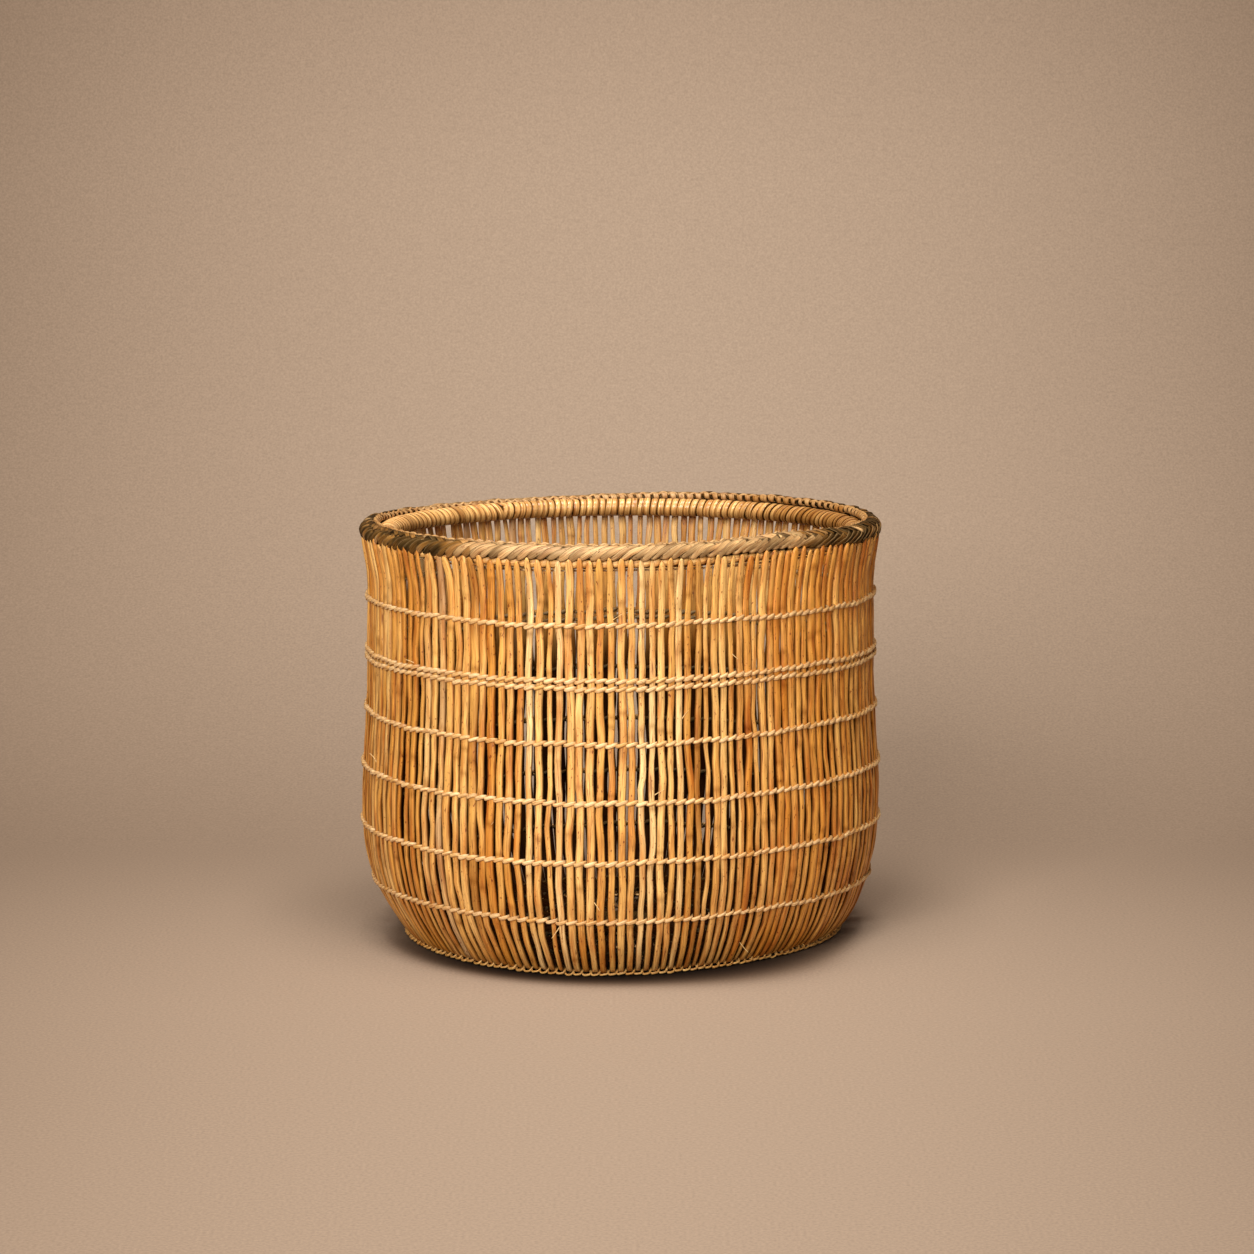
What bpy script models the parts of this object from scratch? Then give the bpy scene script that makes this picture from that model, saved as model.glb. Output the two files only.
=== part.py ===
"""Openwork fishing basket of whole rods, held by twined rows, with a wrapped hoop and a plaited border.

Metres, +Z up, the front towards -Y. The origin is on the floor at the middle of the base.
Every piece is built round about Z. One empty then carries them all and draws the round
basket out into the slight oval that it has, so pieces that are clear of each other stay clear.
"""

import math

import bmesh
import bpy
from mathutils import Matrix

MM = 0.001

# Rods: the stakes of the wall, which turn under at the foot and run in across the base
ROD_DIAMETER = 5.6 * MM
FOOT_GAP = 1.1 * MM
RODS_PER_SPOKE = 5
LET_IN_SHARES = (0.3, 0.65)
SHARPENED_SHARE = 0.55

# Wall: the line of the rods' middles, which draws in below the belly, at the waist and at the mouth
BELLY_RADIUS = 197.0 * MM
BELLY_HEIGHT = 125.0 * MM
FOOT_INSET = 31.0 * MM
FOOT_CURVE_POWER = 2.7
FOOT_CURVE_SHARES = (0.0, 0.1, 0.25, 0.5)
WAIST_INSET = 4.5 * MM
WAIST_HEIGHT = 200.0 * MM
MOUTH_INSET = 6.0 * MM
TIP_HEIGHT = 330.0 * MM

# Out of round: the long way of the mouth against the short way, and where it points
OVAL_SHARE = 0.056
OVAL_ANGLE = math.radians(20)

# Twine of the rows: two flat strands, one outside the rods and one inside
STRAND_THICKNESS = 1.5 * MM
STRAND_WIDTH = 2.2 * MM
ROW_SHARES = (0.15, 0.291, 0.432, 0.57, 0.708, 0.8455)
DOUBLED_ROW = 5
DOUBLED_ROW_GAP = 1.2 * MM
TOP_ROW_DROP = 4.2 * MM
SPOKES_PER_CROSSING = 3
BASE_ROWS = 3

# Hoop: a stout round stick inside the mouth, wrapped in flat splints
HOOP_CORE_DIAMETER = 12.4 * MM
SPLINT_THICKNESS = 1.3 * MM

# Border: the plait that caps the rods' tips and hangs a little down their outer side. The shares are
# of its overhang past the rods' middles and of its height, for the points of its rounded outer side
BORDER_OVERHANG = 6.0 * MM
BORDER_HEIGHT = 10.5 * MM
BORDER_INNER = 6.2 * MM
BORDER_OUTER_SHARES = ((1.0, 0.35), (0.72, 0.85), (0.0, 1.0))
BORDER_INNER_SHARES = (0.7, 0.3)
BORDER_SKIRT_SHARE = 0.94

# Working room that touching pieces keep, and how far a joined rod's end reaches into the next
CLEARANCE = 0.3 * MM
HUB_SIDES = 31
RING_POINTS = 36
WRAP_ARC_POINTS = 6
WRAP_OPENING = math.radians(120)

rod_radius = ROD_DIAMETER / 2
foot_radius = BELLY_RADIUS - FOOT_INSET
mouth_radius = BELLY_RADIUS - MOUTH_INSET
rod_floor = STRAND_THICKNESS + CLEARANCE
rod_height = rod_floor + rod_radius
spokes = int(2 * math.pi * foot_radius / (RODS_PER_SPOKE * (ROD_DIAMETER + FOOT_GAP)))
spoke_angle = 2 * math.pi / spokes
rod_angle = spoke_angle / RODS_PER_SPOKE
hub_radius = (rod_radius + CLEARANCE) / math.tan(spoke_angle / 2)
row_half_height = STRAND_WIDTH + CLEARANCE / 2
top_row_height = TIP_HEIGHT - TOP_ROW_DROP


# Colours and finishes of the bare materials
COLOURS = {
    "rod": ((0.62, 0.36, 0.12, 1), 0.55),
    "twine": ((0.68, 0.45, 0.19, 1), 0.65),
    "splint": ((0.50, 0.31, 0.12, 1), 0.38),
    "plait": ((0.52, 0.34, 0.15, 1), 0.5),
}


def clear_scene():
    for obj in list(bpy.data.objects):
        bpy.data.objects.remove(obj)


def material(slot):
    """The Principled BSDF of one finish, made once."""
    found = bpy.data.materials.get(slot)
    if found:
        return found
    made = bpy.data.materials.new(slot)
    made.use_nodes = True
    colour, roughness = COLOURS[slot]
    shader = made.node_tree.nodes["Principled BSDF"]
    shader.inputs["Base Color"].default_value = colour
    shader.inputs["Roughness"].default_value = roughness
    shader.inputs["Metallic"].default_value = 0.0
    return made


def new_collection(name, hidden=False):
    made = bpy.data.collections.new(name)
    made.hide_render = hidden
    bpy.context.scene.collection.children.link(made)
    return made


def at(radius, angle, height):
    """A point given by its radius, its angle about Z and its height."""
    return (radius * math.cos(angle), radius * math.sin(angle), height)


def wall_line():
    """The bends of a rod in the wall as radius and height. From the foot it swells out to the belly as
    a power of the height that is left, and then draws in at the waist and at the mouth."""
    points = []
    for share in FOOT_CURVE_SHARES:
        radius = BELLY_RADIUS - FOOT_INSET * (1 - share) ** FOOT_CURVE_POWER
        points.append((radius, rod_height + (BELLY_HEIGHT - rod_height) * share))
    points.append((BELLY_RADIUS, BELLY_HEIGHT))
    points.append((BELLY_RADIUS - WAIST_INSET, WAIST_HEIGHT))
    points.append((mouth_radius, TIP_HEIGHT))
    return points


def wall_at(height):
    """Radius of the rods' middles at this height and how fast it grows with height."""
    line = wall_line()
    for (low_radius, low), (high_radius, high) in zip(line, line[1:]):
        if height <= high:
            break
    slope = (high_radius - low_radius) / (high - low)
    return low_radius + slope * (height - low), slope


def curve_object(name, points, closed=False, radii=None):
    """A POLY curve through the points, with a radius factor at each where they are given."""
    data = bpy.data.curves.new(name, "CURVE")
    data.dimensions = "3D"
    data.use_fill_caps = True
    spline = data.splines.new("POLY")
    spline.points.add(len(points) - 1)
    for index, (place, point) in enumerate(zip(spline.points, points)):
        place.co = (*point, 1)
        place.radius = radii[index] if radii else 1
    spline.use_cyclic_u = closed
    return bpy.data.objects.new(name, data)


def round_bevel(obj, radius, resolution):
    """A round section of 4 sides and 2 more for each step of resolution."""
    obj.data.bevel_depth = radius
    obj.data.bevel_resolution = resolution


def section_bevel(obj, section):
    """Gives the curve a drawn section, counterclockwise: x points away from the ring's middle, y up."""
    points = [(x, y, 0) for x, y in reversed(section)]
    outline = curve_object(obj.name + "_section", points, closed=True)
    outline.data.dimensions = "2D"
    outline.display_type = "WIRE"
    outline.hide_render = True
    guides.objects.link(outline)
    obj.data.bevel_mode = "OBJECT"
    obj.data.bevel_object = outline
    obj.data.twist_mode = "Z_UP"


def mesh_of(obj):
    """The evaluated shape as a welded mesh. The object and its curve are removed."""
    graph = bpy.context.evaluated_depsgraph_get()
    mesh = bpy.data.meshes.new_from_object(obj.evaluated_get(graph))
    mesh.name = obj.name
    bpy.data.objects.remove(obj)
    work = bmesh.new()
    work.from_mesh(mesh)
    bmesh.ops.remove_doubles(work, verts=work.verts, dist=CLEARANCE / 10)
    bmesh.ops.recalc_face_normals(work, faces=work.faces)
    work.to_mesh(mesh)
    work.free()
    return mesh


def add_piece(obj, slot):
    """Puts a finished piece into the basket, on the empty that draws it out into an oval."""
    basket.objects.link(obj)
    if not obj.data.materials:
        obj.data.materials.append(material(slot))
    obj.parent = oval
    obj.matrix_parent_inverse = Matrix.Rotation(-OVAL_ANGLE, 4, "Z")
    return obj


def smooth(mesh):
    mesh.shade_smooth()
    mesh.set_sharp_from_angle(angle=math.radians(60))


def let_in_point(index):
    """Where a rod starts in the base, as x and y beside the spoke's middle line, which lies along X.
    The middle rod starts at the hub. Each further one is let in beside the one before it."""
    if index == 0:
        return hub_radius + CLEARANCE, 0
    start = hub_radius + (foot_radius - hub_radius) * LET_IN_SHARES[abs(index) - 1]
    if abs(index) == 1:
        return start, 0
    side = int(math.copysign(1, index))
    before_x, before_y = let_in_point(index - side)
    foot_x, foot_y, _ = at(foot_radius, (index - side) * rod_angle, 0)
    return start, before_y + (foot_y - before_y) * (start - before_x) / (foot_x - before_x)


def rod(index):
    """One rod of a spoke, from where it is let in, out to the foot and up the wall to its tip."""
    angle = index * rod_angle
    points = [(*let_in_point(index), rod_height)]
    points += [at(radius, angle, height) for radius, height in wall_line()]
    start_share = SHARPENED_SHARE if index else 1
    obj = curve_object(f"rod_{index}", points, radii=[start_share] + [1] * (len(points) - 1))
    round_bevel(obj, rod_radius, 0)
    guides.objects.link(obj)
    return bpy.data.objects.new(f"rod_{index}", mesh_of(obj))


def spoke_mesh():
    """A long rod joined with the rods let in on both sides of it, as one mesh for every spoke."""
    middle = rod(0)
    guides.objects.link(middle)
    half = RODS_PER_SPOKE // 2
    for index in [i for i in range(-half, half + 1) if i]:
        other = rod(index)
        guides.objects.link(other)
        join = middle.modifiers.new(f"let_in_{index}", "BOOLEAN")
        join.operation = "UNION"
        join.solver = "EXACT"
        join.object = other
    bpy.context.view_layer.update()
    mesh = mesh_of(middle)
    mesh.name = "spoke"
    smooth(mesh)
    return mesh


def build_spokes():
    mesh = spoke_mesh()
    for number in range(spokes):
        obj = bpy.data.objects.new(f"stake_group_{number + 1:02d}", mesh)
        obj.rotation_euler.z = (number + 0.5) * spoke_angle
        add_piece(obj, "rod")


def strand_section(thickness, width):
    return [
        (-thickness / 2, -width / 2),
        (thickness / 2, -width / 2),
        (thickness / 2, width / 2),
        (-thickness / 2, width / 2),
    ]


def crossing_gaps():
    """The gaps between spokes where the strand changes sides. There is an odd number of them, so
    the strand is on the other side after one turn and closes on itself after two."""
    count = spokes // SPOKES_PER_CROSSING
    count -= 1 - count % 2
    return {round(step * spokes / count) for step in range(count)}


def twined_row(name, height, slot="twine"):
    """One row: a strand that goes round twice, now outside the rods and now inside, so that it
    holds every rod from both sides. Its two turns lie one above the other where they cross."""
    facet = math.cos(spoke_angle / 2)
    level = row_half_height - STRAND_WIDTH / 2
    crossings = crossing_gaps()
    side = 1
    points = []
    for step in range(2 * spokes):
        turn, gap = divmod(step, spokes)
        angle = gap * spoke_angle
        strand_height = height + level if turn == 0 else height - level
        middle, slope = wall_at(strand_height)
        reach = rod_radius + CLEARANCE + STRAND_THICKNESS / 2 + abs(slope) * STRAND_WIDTH / 2
        radius_of = {1: (middle + reach) / facet, -1: middle - reach}
        points.append(at(radius_of[side], angle, strand_height))
        if gap in crossings:
            side = -side
            points.append(at(radius_of[side], angle, strand_height))
    obj = curve_object(name, points, closed=True)
    section_bevel(obj, strand_section(STRAND_THICKNESS, STRAND_WIDTH))
    return add_piece(obj, slot)


def row_heights():
    """Heights of the rows in the wall from the lowest up. One of them is two rows close together."""
    heights = []
    for number, share in enumerate(ROW_SHARES, 1):
        height = share * TIP_HEIGHT
        if number == DOUBLED_ROW:
            apart = row_half_height + DOUBLED_ROW_GAP / 2
            heights += [height - apart, height + apart]
        else:
            heights.append(height)
    return heights


def build_wall_rows():
    for number, height in enumerate(row_heights(), 1):
        twined_row(f"weft_row_{number}", height)
    twined_row("top_weft_row", top_row_height)


def ring_points(radius, height, count):
    return [at(radius, 2 * math.pi * step / count, height) for step in range(count)]


def build_base_rows():
    """Flat strands under and over the rods of the base, in even steps from the hub to the foot. The
    basket stands on the strands underneath."""
    over = rod_height + rod_radius + CLEARANCE + STRAND_THICKNESS / 2
    foot_row_radius = foot_radius - STRAND_WIDTH
    for number in range(BASE_ROWS):
        radius = foot_row_radius - number * (foot_row_radius - hub_radius) / BASE_ROWS
        where = "foot_row" if number == 0 else f"base_row_{number}"
        for side, height in (("under", STRAND_THICKNESS / 2), ("over", over)):
            points = ring_points(radius, height, spokes)
            obj = curve_object(f"{where}_{side}", points, closed=True)
            section_bevel(obj, strand_section(STRAND_WIDTH, STRAND_THICKNESS))
            add_piece(obj, "twine")


def build_hub():
    """The tightly twined button that the long rods start from, with a flat underside."""
    top = rod_height + rod_radius + STRAND_THICKNESS
    bpy.ops.mesh.primitive_cylinder_add(vertices=HUB_SIDES, radius=hub_radius, depth=top, location=(0, 0, top / 2))
    obj = bpy.context.active_object
    obj.name = "base_hub"
    for collection in list(obj.users_collection):
        collection.objects.unlink(obj)
    add_piece(obj, "twine")


def build_hoop():
    """The stick of the hoop, against the inner strand of the top row, and the splints round both as a
    shell. Its two edges reach the rods above and below the strand, where the real splints go through."""
    rods_inner = wall_at(top_row_height)[0] - rod_radius - CLEARANCE
    strand_inner = (rods_inner - STRAND_THICKNESS) * math.cos(spoke_angle / 2)
    radius = strand_inner - CLEARANCE - HOOP_CORE_DIAMETER / 2
    points = ring_points(radius, top_row_height, RING_POINTS)
    core = curve_object("hoop_core", points, closed=True)
    round_bevel(core, HOOP_CORE_DIAMETER / 2, 1)
    add_piece(core, "rod")
    arc_step = (2 * math.pi - WRAP_OPENING) / (WRAP_ARC_POINTS - 1)
    inner = (HOOP_CORE_DIAMETER / 2 + CLEARANCE) / math.cos(arc_step / 2)
    outer = inner + SPLINT_THICKNESS
    turns = [WRAP_OPENING / 2 + arc_step * step for step in range(WRAP_ARC_POINTS)]
    edge = rods_inner - radius
    edge_inner = row_half_height + CLEARANCE
    edge_outer = edge_inner + SPLINT_THICKNESS
    section = [(edge, edge_outer)]
    section += [(outer * math.cos(turn), outer * math.sin(turn)) for turn in turns]
    section += [(edge, -edge_outer), (edge, -edge_inner)]
    section += [(inner * math.cos(turn), inner * math.sin(turn)) for turn in reversed(turns)]
    section += [(edge, edge_inner)]
    wrap = curve_object("hoop_wrapping", points, closed=True)
    section_bevel(wrap, section)
    add_piece(wrap, "splint")


def build_border():
    """The plaited border as one band of its outer shape, over the tips and down their outer side."""
    outer = rod_radius + BORDER_OVERHANG
    skirt = rod_radius + CLEARANCE
    skirt_height = row_half_height + CLEARANCE - TOP_ROW_DROP
    section = [(skirt, skirt_height), (outer * BORDER_SKIRT_SHARE, skirt_height)]
    section += [(outer * out, BORDER_HEIGHT * up) for out, up in BORDER_OUTER_SHARES]
    section += [(-BORDER_INNER, BORDER_HEIGHT * up) for up in BORDER_INNER_SHARES]
    section += [(-rod_radius, CLEARANCE), (skirt, CLEARANCE)]
    facet = math.cos(math.pi / RING_POINTS)
    points = ring_points(mouth_radius / facet, TIP_HEIGHT, RING_POINTS)
    band = curve_object("plaited_border", points, closed=True)
    section_bevel(band, section)
    add_piece(band, "plait")


clear_scene()
basket = new_collection("fishing_basket")
guides = new_collection("guides", hidden=True)
oval = bpy.data.objects.new("oval", None)
oval.rotation_euler.z = OVAL_ANGLE
oval.scale = (1 + OVAL_SHARE, 1 - OVAL_SHARE, 1)
basket.objects.link(oval)
build_spokes()
build_wall_rows()
build_base_rows()
build_hub()
build_hoop()
build_border()
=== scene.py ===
import math

import bpy
import numpy as np
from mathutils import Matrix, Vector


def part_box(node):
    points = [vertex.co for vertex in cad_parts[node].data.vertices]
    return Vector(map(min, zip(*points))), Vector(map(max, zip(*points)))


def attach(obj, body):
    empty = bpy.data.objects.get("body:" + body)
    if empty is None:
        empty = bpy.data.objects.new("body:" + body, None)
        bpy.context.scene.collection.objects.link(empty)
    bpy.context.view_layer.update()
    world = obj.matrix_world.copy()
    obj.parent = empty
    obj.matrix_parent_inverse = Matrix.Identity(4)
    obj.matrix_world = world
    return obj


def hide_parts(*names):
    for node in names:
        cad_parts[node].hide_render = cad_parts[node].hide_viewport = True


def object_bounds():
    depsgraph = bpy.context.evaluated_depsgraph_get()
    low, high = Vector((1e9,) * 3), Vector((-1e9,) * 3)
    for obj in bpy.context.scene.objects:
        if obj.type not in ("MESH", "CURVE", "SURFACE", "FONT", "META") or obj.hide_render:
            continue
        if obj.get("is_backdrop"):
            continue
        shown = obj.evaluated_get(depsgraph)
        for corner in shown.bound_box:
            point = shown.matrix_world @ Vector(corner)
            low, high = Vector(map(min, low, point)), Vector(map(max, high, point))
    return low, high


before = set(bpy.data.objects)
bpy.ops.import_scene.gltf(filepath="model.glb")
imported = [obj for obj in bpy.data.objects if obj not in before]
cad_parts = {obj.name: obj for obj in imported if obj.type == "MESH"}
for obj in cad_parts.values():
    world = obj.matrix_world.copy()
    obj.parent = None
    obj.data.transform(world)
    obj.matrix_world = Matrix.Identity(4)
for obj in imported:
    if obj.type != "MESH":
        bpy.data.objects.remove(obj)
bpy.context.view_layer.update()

# Rods. 155 whole peeled rods stand side by side round the wall, with gaps between them. Each turns under
# at the foot and runs in across the base: one in five reaches the middle, the others are let in beside it.
# Lengths are in millimetres until piece() puts them into the frame's metres.
RODS = 155
RODS_IN_GROUP = 5
ROD_STEP = 2 * math.pi / RODS
ROD_RADIUS = 2.9
ROD_RINGS = 108
ROD_SIDES = 12
BASE_LEVEL = 4.6
FOOT_RADIUS = 166.0
BELLY_RADIUS = 197.0
BELLY_HEIGHT = 125.0
TIP_HEIGHT = 330.0
TIP_LENGTH = 16.0
TIP_RINGS = np.array([0.15, 0.3, 0.45, 0.58, 0.7, 0.8, 0.88, 0.94, 0.98, 1.0])
# Each rod's place in its group, from -2 to 2 with the long rod at 0, and the angle of that long rod.
PLACE = np.arange(RODS) % RODS_IN_GROUP - RODS_IN_GROUP // 2
TURN = (np.arange(RODS) - PLACE + 0.5) * ROD_STEP
# Where a rod starts in the base, by how far its place is from 0: its distance from the axis along the
# long rod, and its distance beside it.
LET_IN = {0: (31.0, 0.0), 1: (71.0, 3.4), 2: (118.0, 8.8)}
HONEY = (0.76, 0.405, 0.100)
GOLD = (0.88, 0.54, 0.185)
ORANGE = (0.64, 0.28, 0.044)
BARK = (0.38, 0.155, 0.027)
STRAW = (0.92, 0.64, 0.29)
ASH = (0.64, 0.44, 0.25)
ROD_COLOURS = np.array([HONEY, GOLD, ORANGE, BARK, STRAW, ASH])
FIRST_SHARES = (0.42, 0.28, 0.17, 0.03, 0.07, 0.03)
SECOND_SHARES = (0.45, 0.27, 0.2, 0.04, 0.03, 0.01)
# How much of the red, green and blue the rods lose at the right and at the left: painted shade, which makes
# them browner there.
SHADE_AT_RIGHT = np.array([0.10, 0.30, 0.62])
SHADE_AT_LEFT = np.array([0.11, 0.22, 0.42])
# Powers for the red, green and blue of a share that darkens: what gets darker gets warmer too.
WARM = np.array([1, 1.3, 1.75])
chance = np.random.default_rng(155)


def hand_made(points):
    """Draws the round basket out into the plan that it has: the distance from the axis is multiplied by
    1 and a sum of sines and cosines of two, three and four times the angle, which makes a slightly uneven
    oval that points 20 degrees back at the right. Near the foot, 2.4 mm times the angle's cosine is
    added, which moves the foot to the right."""
    x, y, z = np.moveaxis(points, -1, 0)
    angle, radius = np.arctan2(y, x), np.hypot(x, y)
    waves = ((2, 0.0434, 0.0355), (3, 0.0069, 0.0126), (4, 0.0112, -0.0031))
    drawn = radius * (1 + sum(c * np.cos(n * angle) + s * np.sin(n * angle) for n, c, s in waves))
    drawn = drawn + 2.4 * np.cos(angle) * np.exp(-(((z - 12) / 25) ** 2)) * (radius / FOOT_RADIUS) ** 2
    return np.stack([drawn * np.cos(angle), drawn * np.sin(angle), z], -1)


def wall_radius(height):
    """Radius of the rods' middles. Below the belly it is the belly's, less 31 mm times the third power of
    the share of height that is left; above it draws in to the waist and flares a little at the mouth."""
    share = np.clip((BELLY_HEIGHT - height) / (BELLY_HEIGHT - BASE_LEVEL), 0, 1)
    above = np.interp(height, [BELLY_HEIGHT, 200, 290, TIP_HEIGHT], [0, 4.5, 5.6, 3.4])
    return BELLY_RADIUS - 31 * share**3 - above


def circle(count):
    """Angles spaced evenly all the way round."""
    return np.linspace(0, 2 * math.pi, count, endpoint=False)


def at_angle(radius, angle, height):
    """Points of the round basket: the radius times the angle's cosine and its sine, and the height."""
    return np.stack(np.broadcast_arrays(radius * np.cos(angle), radius * np.sin(angle), height), -1)


def near(angle, middle, spread, power=2):
    """How near an angle is to a middle one in degrees, from 1 down to 0: e to minus the power of their
    distance over the spread. A higher power gives a flatter top with steeper sides."""
    off = (np.degrees(angle) - middle + 180) % 360 - 180
    return np.exp(-(np.abs(off / spread) ** power))


def at_right(angle):
    """1 over the right side of the basket, falling off towards the front and the back."""
    return near(angle, -5, 50, 4)


def at_left(angle):
    """1 over the left side of the basket, falling off towards the front and the back."""
    return near(angle, 192, 44, 4)


def waver(along, lengths, size):
    """An amount that wavers along each rod: one sine for each wave length, with its phase, its share and
    a little of its length drawn by chance, added up and scaled to the size."""
    total = np.zeros(along.shape)
    for length in lengths:
        phase, share, stretch = (chance.uniform(least, most, (len(along), 1))
                                 for least, most in ((0, 6.3), (0.4, 1), (0.8, 1.3)))
        total += share * np.sin(2 * math.pi * along / (length * stretch) + phase)
    return size * total / math.sqrt(len(lengths))


def kinks(along, spacing, size):
    """A broken line along each rod: its corners lie about the spacing apart, at amounts drawn by chance."""
    count = int(along.max() / spacing) + 2
    corners = (np.arange(count) + chance.uniform(-0.4, 0.4, (len(along), count))) * spacing
    amounts = chance.normal(0, size, (len(along), count))
    return np.stack([np.interp(row, x, y) for row, x, y in zip(along, corners, amounts)])


def unit(vectors):
    """The vectors divided by their lengths."""
    return vectors / np.linalg.norm(vectors, axis=-1, keepdims=True)


def length_along(line):
    """How far along a line each of its points lies: the distances between the points, added up."""
    return np.concatenate([[0], np.cumsum(np.linalg.norm(np.diff(line, axis=0), axis=1))])


def points_at(lengths, known, line):
    """The points of a line at the given lengths, on the straight pieces between its known points."""
    return np.stack([np.interp(lengths, known, column) for column in line.T], 1)


def smoothed(line, window):
    """A line rounded by a moving mean, whose weights rise and fall by a cosine over the window. Past both
    ends it is carried on by its own image, turned half round, so that the ends stay in place."""
    weight = np.hanning(window)[1:-1]
    past = (window - 3) // 2
    longer = np.pad(line, ((past, past), (0, 0)), mode="reflect", reflect_type="odd")
    return np.stack([np.convolve(column, weight / weight.sum(), "valid") for column in longer.T], 1)


def rod_line(place):
    """The middle of one rod of a group that points along x: straight from where it is let in to the foot,
    then up the wall, spaced evenly and rounded at the foot by a moving mean. Its rings lie closer together
    at the tip. Returns points, their lengths along the rod, and the directions out of the basket and
    back across the rods."""
    turn = place * ROD_STEP
    from_axis, beside = LET_IN[abs(place)]
    start = np.array([from_axis, math.copysign(beside, place), BASE_LEVEL])
    foot = at_angle(FOOT_RADIUS, turn, BASE_LEVEL)
    base = start + (foot - start) * np.linspace(0, 1, 200)[:-1, None]
    height = np.linspace(BASE_LEVEL, TIP_HEIGHT, 700)
    line = np.concatenate([base, at_angle(wall_radius(height), turn, height)])
    length = length_along(line)
    even = np.linspace(0, length[-1], 480)
    line = smoothed(points_at(even, length, line), 19)
    tip = even[-1] - TIP_LENGTH
    at = np.concatenate([np.linspace(0, tip, ROD_RINGS - len(TIP_RINGS)), tip + TIP_LENGTH * TIP_RINGS])
    points = points_at(at, even, line)
    run = unit(np.gradient(points, at, axis=0))
    across = np.array([-math.sin(turn), math.cos(turn), 0.0])
    across = unit(across - (run @ across)[:, None] * run)
    return points, at, np.cross(across, run), -across


def rod_paths():
    """The middle of every rod: rod_line() for its place, moved along the wall by a waver and kinks, and
    out of it by 1.1 mm and a smaller waver, both from nothing in the base to all of it 40 mm up. The tip
    leans out by 1.5 mm, and where it is one of the tips_out by 3 to 4.4 mm, times a power of the share of
    its last 32 mm. Its last 20 mm are drawn out or pushed back.
    Returns points, lengths, directions out and back, and heights before all this."""
    lines = [rod_line(kind) for kind in range(-2, 3)]
    points, at, out, back = (np.stack([line[part] for line in lines])[PLACE + 2] for part in range(4))
    height = points[:, :, 2]
    left = at[:, -1:] - at
    free = np.clip(height / 40, 0, 1)
    sideways = (waver(at, (150, 62, 33), 0.48) + kinks(at, 34, 0.74)) * free
    outwards = waver(at, (120, 47), 0.34) * free
    most = np.where(tips_out, chance.uniform(3.0, 4.4, RODS), 1.5)[:, None]
    lean = most * np.clip(1 - left / 32, 0, 1) ** 1.3
    points = points + back * sideways[:, :, None] + out * (outwards + lean + 1.1 * free)[:, :, None]
    points[:, :, 2] += chance.uniform(-2.2, 2.0, (RODS, 1)) * np.clip(1 - left / 20, 0, 1)
    return points, at, out, back, height


def rod_thickness(at, height):
    """Half the thickness of every rod along it: the rod's radius times a share of its own, a waver with
    kinks, and shares for the height, the thicker rods of the lower back, the thin start of a rod that is
    let in, three knots with a bell's outline, the pointed tip and its rounded end.
    Returns it, and how far along the rods the knots lie."""
    left = at[:, -1:] - at
    thick = ROD_RADIUS * np.clip(chance.normal(1, 0.14, (RODS, 1)), 0.70, 1.22)
    thick = thick * (1 + waver(at, (95, 28), 0.035) + kinks(at, 16, 0.045))
    thick = thick * np.interp(height, [BASE_LEVEL, 60, 200, 300], [0.88, 1.06, 1.05, 0.94])
    thick = thick * (1 + 0.15 * near(TURN, 95, 62, 4)[:, None] * np.interp(height, [210, 262], [1, 0]))
    thick = thick * np.where(PLACE[:, None] != 0, np.interp(at, [0, 42], [0.55, 1]), 1)
    knots = chance.uniform(0.25, 0.97, (RODS, 3)) * at[:, -1:]
    for knot in knots.T:
        thick = thick * (1 + 0.085 * np.exp(-(((at - knot[:, None]) / 2.6) ** 2)))
    point = chance.uniform(6, 11, (RODS, 1))
    thick = thick * (0.50 + 0.50 * (1 - (1 - np.clip(left / point, 0, 1)) ** 1.6))
    return thick * (0.3 + 0.7 * np.sqrt(np.clip(left / 1.6, 0, 1))), knots


def rod_rings(points, at, out, back, height, thick):
    """Every rod as rings of points, turned to its place round the basket. A ring has its middle on the
    rod's path. It is an oval with blunt corners, from the 0.7th power of sine and cosine, flatter in the
    wall than in the base and a little uneven. Returns the rings and the same rods straightened."""
    blunt = [np.sign(wave(circle(ROD_SIDES))) * np.abs(wave(circle(ROD_SIDES))) ** 0.7
             for wave in (np.cos, np.sin)]
    uneven = 1 + 0.05 * np.cos(2 * circle(ROD_SIDES) + chance.uniform(0, 6.3, (RODS, 1, 1)))
    uneven = uneven + chance.normal(0, 0.035, (RODS, 1, ROD_SIDES))
    over, beside = (thick[:, :, None] * uneven * way for way in blunt)
    over = over * np.interp(height, [12, 40], [0.9, 0.58])[:, :, None]
    rings = points[:, :, None] + over[..., None] * out[:, :, None] + beside[..., None] * back[:, :, None]
    x, y, z = np.moveaxis(rings, -1, 0)
    cos, sin = np.cos(TURN)[:, None, None], np.sin(TURN)[:, None, None]
    rings = np.stack([x * cos - y * sin, x * sin + y * cos, z], -1)
    own = chance.uniform(0, 400, (RODS, 3))[:, None, None, :]
    return rings, np.stack(np.broadcast_arrays(over, beside, at[:, :, None]), -1) + own


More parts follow.
